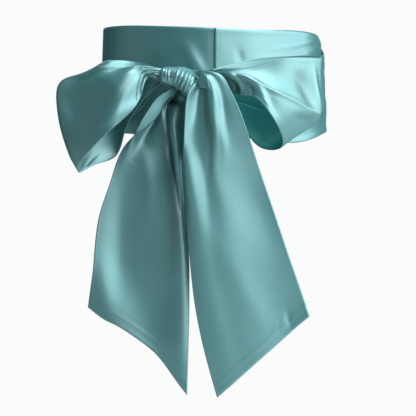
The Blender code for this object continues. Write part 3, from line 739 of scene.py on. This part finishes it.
tailLeft = {
    "name": "tailLeft", "replaces": "tail_left", "surface": loftSurface, "outwards": 1,
    "grid": (220, 110), "finish": "satinHungPaintedShade", "hemEnds": (0, 13), "sideHems": False,
    "gathers": (5, 0.5, (12, 0)),
    "flat": (0.110, 0.32), "held": "hung", "restsOn": ["knotWrap"], "ripple": (55, 0.22, 17),
    # left edge, roll, left panel, middle, valley, ridge, right edge
    "rows": (
        ((-46, -121, 1), (-46, -120, 0), (-45, -118.5, -1), (-43, -117.5, -1), (-40, -117, -1),
         (-36, -117.5, -1), (-32, -118, -1)),
        ((-45, -127.5, -9), (-49.5, -131, -7), (-49, -118, -10), (-47, -115.5, -11), (-44, -114, -11),
         (-38, -118, -10), (-32, -118, -9)),
        ((-52, -129, -18.5), (-62, -136.5, -15), (-60, -117, -21), (-56, -116, -23), (-51, -114, -22),
         (-43, -119, -20), (-32, -118, -18)),
        ((-60.5, -130, -33.5), (-73, -137.5, -29), (-69, -116, -37), (-62, -117, -40), (-53, -118, -39),
         (-44.5, -121, -38), (-31, -118, -38)),
        ((-76, -126.5, -49.5), (-84, -131.5, -46), (-79, -117, -53), (-68, -117.3, -57), (-52, -120.5, -57),
         (-43, -122.5, -57), (-30.5, -119, -57)),
        ((-97.5, -120.5, -66.5), (-94, -122.5, -68), (-86, -117.5, -70), (-70, -116.5, -74),
         (-50, -119, -76), (-42, -124, -76), (-30.5, -120, -76)),
        ((-117.5, -119.5, -110), (-110.5, -118.5, -110), (-97, -117.5, -110), (-73, -118.5, -111),
         (-50, -122.5, -111), (-40, -126, -111), (-31.5, -121, -111)),
        ((-131, -119.5, -151), (-121, -117.5, -151), (-104.5, -113.8, -151), (-77, -117, -151),
         (-50, -121.5, -151), (-37.5, -124, -151), (-30, -119, -151)),
        ((-137.5, -119, -203), (-125.5, -116.5, -203), (-107, -111.3, -203), (-78.5, -112.3, -203),
         (-50, -117, -203), (-35, -120.5, -203), (-27, -116, -203)),
        ((-141, -114.5, -232), (-127.5, -115.5, -239), (-109, -112, -244), (-80, -109.5, -254),
         (-52, -113, -266), (-37, -117, -275), (-28, -115, -282)),
        ((-144.5, -109.5, -257.5), (-128.5, -112.3, -270), (-110, -114, -279.5), (-81, -113, -299),
         (-58, -113.5, -321), (-41.5, -116, -344), (-30, -117.5, -358.5)),
    ),
    "folds": (
        (((0.05, 0.07), (0.12, 0.07), (0.22, 0.06)), 6, 1.6, 0.0),
        (((0.065, 0.665), (0.075, 0.855), (0.0925, 0.96)), 5, -4.0, 0.0),
        (((0.10, 0.715), (0.205, 0.72), (0.30, 0.73), (0.40, 0.82), (0.52, 0.86)), 3, -2.0, 0.2),
        (((0.10, 0.83), (0.18, 0.835), (0.26, 0.86), (0.36, 0.885), (0.48, 0.91)), 4, 2.4, 0.0),
        (((0.22, 0.90), (0.40, 0.93), (0.60, 0.93), (0.85, 0.92)), 7.5, -1.6, 0.0),
        (((0.325, 0.20), (0.343, 0.40)), 1.5, 0.3, 0.5),
        (((0.27, 0.39), (0.38, 0.50), (0.52, 0.54)), 8, 1.0, 0.0),
    ),
    # painted shade down the right side, painted highlights on the flap and low on the left
    "paintedShades": (
        (((0.08, 0.83), (0.165, 0.74), (0.242, 0.69), (0.345, 0.72), (0.50, 0.78), (0.75, 0.76)), 8, -2.2),
        (((0.06, 0.06), (0.085, 0.05), (0.125, 0.07), (0.16, 0.22), (0.19, 0.27)), 5, 4.5),
        (((0.62, 0.12), (0.80, 0.28), (0.90, 0.45)), 13, 2.8),
    ),
}
tailRight = {
    "name": "tailRight", "replaces": "tail_right", "surface": loftSurface, "outwards": 1,
    "grid": (220, 110), "finish": "satinHung", "hemEnds": (0, 13), "sideHems": False,
    "gathers": (5, 0.5, (12, 0)),
    "flat": (0.115, 0.36), "held": "hung", "restsOn": ["knotWrap"], "ripple": (55, 0.22, 19),
    # left edge, left ridge, valley, right ridge, hollow, panel, right edge
    "rows": (
        ((-32, -130, -3), (-32, -131, 0), (-32, -130.5, 3), (-32, -131, 6), (-32, -130.5, 9),
         (-31, -131, 11.5), (-30, -130, 14)),
        ((-24, -132, -2), (-22.5, -133.5, 1), (-21.5, -132.5, 4), (-20.5, -134, 7.5), (-19, -133, 10.5),
         (-17.5, -133.5, 13), (-15.5, -133, 15)),
        ((-26, -140.5, -6), (-22.5, -140.5, -3), (-15, -135.5, 0), (-10.5, -142, 5.5), (-4, -140.5, 8.5),
         (1.5, -140.5, 10.5), (7, -139.5, 10)),
        ((-30, -143.8, -16), (-27.5, -142.8, -15), (-16, -137.3, -13), (-3.5, -145.5, -9), (5, -143.1, -6.5),
         (12, -142.2, -4.5), (18.5, -141.4, -5)),
        ((-32, -144.2, -28), (-29.5, -143.1, -28), (-17, -137.6, -28), (-2.5, -146, -26), (8, -142.6, -24.5),
         (17, -141.8, -23), (26.5, -141.3, -22)),
        ((-33, -143, -47), (-31, -142.5, -48.5), (-18, -139.6, -49.3), (-0.5, -145.6, -49.5),
         (9, -142.8, -48.5), (23, -141.2, -47.5), (36, -140.4, -46)),
        ((-34, -141.6, -70), (-31, -141.2, -71.5), (-16, -138.5, -73), (0.5, -143, -73), (15, -139.8, -73),
         (30, -137, -71.5), (44, -136, -70.5)),
        ((-35.5, -129, -105), (-31, -138, -105), (-12, -135.5, -105), (2, -137, -106),
         (20, -132.5, -106), (40, -127.7, -106), (55.5, -126.5, -105)),
        ((-31, -126, -151), (-25, -133, -151), (-7, -132, -152.5), (12, -130.5, -152.5),
         (33, -126, -152.5), (56, -121.5, -152.5), (71.5, -120.7, -151)),
        ((-27, -123, -203), (-19.5, -128, -203), (0, -128.5, -204.5), (22, -127, -204.5),
         (45, -123.5, -204.5), (70.5, -119.8, -203), (89, -119.3, -203)),
        ((-19, -120, -267), (-9, -124, -262), (12, -124.5, -256), (34, -123, -250.5),
         (57, -120, -245), (81, -117.3, -239), (100.5, -117, -235.5)),
        ((4.5, -118, -361.5), (13, -120.5, -354), (31, -121, -338), (50.5, -120, -320.5),
         (71, -118, -302.5), (93, -116.6, -283), (111, -119.5, -267.5)),
    ),
    "folds": (
        (((0.09, 0.355), (0.142, 0.38), (0.17, 0.405), (0.203, 0.42), (0.242, 0.43), (0.307, 0.415),
          (0.40, 0.36)), 3.4, -1.4, 0.0),
        (((0.128, 0.55), (0.16, 0.585), (0.203, 0.63), (0.28, 0.63), (0.37, 0.59)), 4, 1.0, 0.0),
        (((0.57, 0.26), (0.767, 0.49), (0.965, 0.63)), 15, 0.8, 0.0),
        (((0.90, 0.83), (0.94, 0.825), (0.98, 0.825)), 4, -0.7, 0.0),
        (((0.922, 0.715), (0.95, 0.665)), 3.5, 0.15, 0.0),
        (((0.922, 0.775), (0.95, 0.74)), 4, 0.15, 0.0),
    ),
    # painted shade in the valley under the knot, painted highlights on the broad ridge
    "paintedShades": (
        (((0.09, 0.35), (0.117, 0.365), (0.16, 0.37), (0.203, 0.38), (0.242, 0.395), (0.33, 0.39)), 4, -3.6),
        (((0.05, 0.34), (0.085, 0.36), (0.125, 0.37)), 6, -2.0),
        (((0.38, 0.66), (0.62, 0.62), (0.85, 0.66)), 15, 0.8),
        (((0.42, 0.48), (0.55, 0.44), (0.68, 0.42)), 12, 1.0),
    ),
}


# the cloth wrapped round the crossing: rings that run into one another
def knotSurface(piece):
    rings, sides = piece["grid"]
    rows = np.asarray(piece["rows"], float)
    knots = knotsAlong(rows[:, None, :3], 0)
    x, y, z, halfDepth, halfHeight = splineThrough(rows, np.linspace(0, knots[-1], rings), knots).T
    turn = np.linspace(0, 2 * math.pi, sides)[None, :]
    ringY = y[:, None] + halfDepth[:, None] * np.cos(turn)
    ringZ = z[:, None] + halfHeight[:, None] * np.sin(turn)
    return np.stack([x[:, None] + 0 * turn, ringY, ringZ], axis=2)


knotWrap = {
    "name": "knotWrap", "replaces": "knot", "surface": knotSurface, "outwards": -1,
    "grid": (150, 160), "finish": "satinKnotPaintedLight", "hemEnds": (0, 0), "weaveTurned": True,
    "flat": (0.060, 0.075), "held": "gathered", "restsOn": ["loopLeft", "loopRight"],
    "ripple": (14, 0.15, 23),
    # x, y, z of a ring's centre, half its depth, half its height
    "rows": (
        (-60.5, -120, 10.5, 9, 5.0),
        (-58.0, -121, 9.5, 14, 8.2),
        (-52.0, -123, 8.5, 18, 10.2),
        (-44.0, -125, 7, 20, 11.4),
        (-36.0, -126, 4.5, 21, 13.6),
        (-29.0, -126, 1, 20, 15.4),
        (-23.5, -125, 2.5, 16, 11.4),
        (-20.0, -124, 4.5, 9, 6.0),
    ),
    # across is the turn round the knot here, 0.25 the top, 0.5 the front
    "folds": (
        (((0.08, 0.34), (0.005, 0.56), (0.10, 0.74)), 0.9, 1.8, 0.4),
        (((0.16, 0.32), (0.085, 0.54), (0.20, 0.74)), 0.9, 2.0, 0.4),
        (((0.235, 0.31), (0.165, 0.535), (0.285, 0.73)), 0.9, 2.0, 0.4),
        (((0.30, 0.30), (0.235, 0.53), (0.35, 0.72)), 0.9, 1.6, 0.4),
        (((0.12, 0.33), (0.045, 0.55), (0.15, 0.74)), 0.7, -1.4, 0.4),
        (((0.20, 0.315), (0.125, 0.54), (0.245, 0.735)), 0.7, -1.5, 0.4),
        (((0.27, 0.305), (0.20, 0.535), (0.32, 0.725)), 0.7, -1.2, 0.4),
        (((0.72, 0.27), (0.55, 0.36), (0.45, 0.50), (0.40, 0.66)), 1.3, 1.6, 0.3),
        (((0.80, 0.28), (0.66, 0.38), (0.54, 0.53), (0.47, 0.69)), 1.0, 1.3, 0.4),
        (((0.87, 0.30), (0.76, 0.40), (0.64, 0.54), (0.55, 0.71)), 1.5, 2.4, 0.3),
        (((0.93, 0.33), (0.84, 0.43), (0.73, 0.56), (0.63, 0.72)), 1.2, 1.4, 0.4),
        (((0.97, 0.40), (0.91, 0.48), (0.82, 0.59), (0.73, 0.71)), 1.5, 1.6, 0.3),
        (((0.76, 0.275), (0.585, 0.39), (0.47, 0.535), (0.405, 0.675)), 0.8, -1.4, 0.4),
        (((0.835, 0.29), (0.69, 0.41), (0.57, 0.555), (0.495, 0.70)), 0.8, -1.6, 0.4),
        (((0.90, 0.315), (0.785, 0.43), (0.67, 0.565), (0.585, 0.715)), 0.8, -1.6, 0.4),
        (((0.95, 0.37), (0.87, 0.46), (0.77, 0.58), (0.68, 0.715)), 0.8, -1.0, 0.4),
    ),
}
tailPocket = {
    "name": "tailPocket", "replaces": "tail_right", "surface": loftSurface, "outwards": 1,
    "grid": (48, 40), "finish": "satinFoldPaintedShade", "hemEnds": (0, 0),
    "flat": (0.013, 0.023), "held": "folded", "restsOn": ["tailRight"], "ripple": (14, 0.1, 29),
    # the top layer of the tail, folded over below the knot: left, middle, right
    "rows": (
        ((-16.5, -137, 12.5), (-14.6, -139, 14.6), (-11.5, -141, 14)),
        ((-19.3, -139, 6.5), (-14.0, -142.5, 8), (-8.2, -146, 8)),
        ((-17.5, -141, 0.5), (-11.5, -144.5, 0), (-5.2, -148, 0)),
        ((-15.6, -142.5, -5.4), (-9.4, -145.5, -6.7), (-3.2, -148.5, -8.2)),
    ),
    "folds": (
        (((0.22, 0.15), (0.34, 0.30)), 2.2, -2.2, 0.0),
    ),
}

for piece in (tailPocket, bandLeft, bandRight, wrapRight, wrapLeft,
              loopLeft, loopRight, tailLeft, tailRight, knotWrap):
    clothPiece(piece)

# floor, light and camera, in metres
stage = {
    "floorRadius": 1.2,
    "floorSides": 96,
    "floorDrop": 0.20,      # how far below the tails it is
    "floorColour": (0.85, 0.86, 0.86),
    "floorRoughness": 0.8,
    "background": (0.96, 0.965, 0.965),
    "ambient": (0.025, 0.08, 0.085),
}
view = {
    "place": (-0.006, -3.11, -0.143),
    "tilt": 90,      # degrees up from straight down
    "sensor": 36,    # mm
    "lens": 225,     # mm
}
lights = (
    # name, place, size, watts, colour
    ("keyLight", (1.38, -2.2, 0.7), 1.5, 33, (1.0, 0.99, 0.98)),
    ("rightLight", (2.2, -1.3, 0.8), 1.5, 31, (1.0, 0.99, 0.98)),
    ("sideLight", (2.55, -0.1, 0.5), 1.4, 22, (0.98, 1.0, 1.0)),
    ("topLight", (0.5, -0.6, 1.9), 1.3, 42, (0.97, 1.0, 1.0)),
    ("fillLight", (-1.6, -2.2, 0.2), 1.6, 1.1, (1.0, 0.95, 0.95)),
    ("leftLight", (-2.4, -0.6, 0.3), 2.4, 5, (1.0, 0.93, 0.93)),
)
aim = (0.0, -0.1, -0.12)

bpy.ops.mesh.primitive_circle_add(vertices=stage["floorSides"], radius=stage["floorRadius"],
                                  fill_type="NGON", location=(0, 0, 0))
floor = bpy.context.object
floor.name = "floor"
floor.location = (0, 0, cadBox[0][2] - stage["floorDrop"])
floorPaint = bpy.data.materials.new("floorPaint")
floorPaint.use_nodes = True
floorShader = floorPaint.node_tree.nodes["Principled BSDF"]
floorShader.inputs["Base Color"].default_value = (*stage["floorColour"], 1)
floorShader.inputs["Roughness"].default_value = stage["floorRoughness"]
floor.data.materials.append(floorPaint)


# stands a lamp at a place, with its face to the target
def pointAt(obj, place, target):
    away = np.subtract(place, target)
    obj.location = place
    flat = math.hypot(away[0], away[1])
    obj.rotation_euler = (math.atan2(flat, away[2]), 0, math.atan2(away[0], -away[1]))


for name, place, size, watts, colour in lights:
    data = bpy.data.lights.new(name, "AREA")
    data.shape = "DISK"
    data.size = size
    data.energy = watts
    data.color = colour
    lamp = bpy.data.objects.new(name, data)
    bpy.context.scene.collection.objects.link(lamp)
    pointAt(lamp, place, aim)

world = bpy.data.worlds.new("studio")
bpy.context.scene.world = world
world.use_nodes = True
studio = world.node_tree
studio.nodes.clear()
seen = studio.nodes.new("ShaderNodeBackground")   # the pale backdrop
seen.inputs[0].default_value = (*stage["background"], 1)
lit = studio.nodes.new("ShaderNodeBackground")   # the dim light that it gives
lit.inputs[0].default_value = (*stage["ambient"], 1)
ray = studio.nodes.new("ShaderNodeLightPath")
choice = studio.nodes.new("ShaderNodeMixShader")
output = studio.nodes.new("ShaderNodeOutputWorld")
studio.links.new(ray.outputs["Is Camera Ray"], choice.inputs[0])
studio.links.new(lit.outputs[0], choice.inputs[1])
studio.links.new(seen.outputs[0], choice.inputs[2])
studio.links.new(choice.outputs[0], output.inputs[0])

camera = bpy.data.cameras.new("camera")
camera.sensor_width = view["sensor"]
camera.lens = view["lens"]
cameraObject = bpy.data.objects.new("camera", camera)
bpy.context.scene.collection.objects.link(cameraObject)
cameraObject.location = view["place"]
cameraObject.rotation_euler = (math.radians(view["tilt"]), 0, 0)
bpy.context.scene.camera = cameraObject
bpy.context.scene.view_settings.view_transform = "Standard"
print("lit and framed")
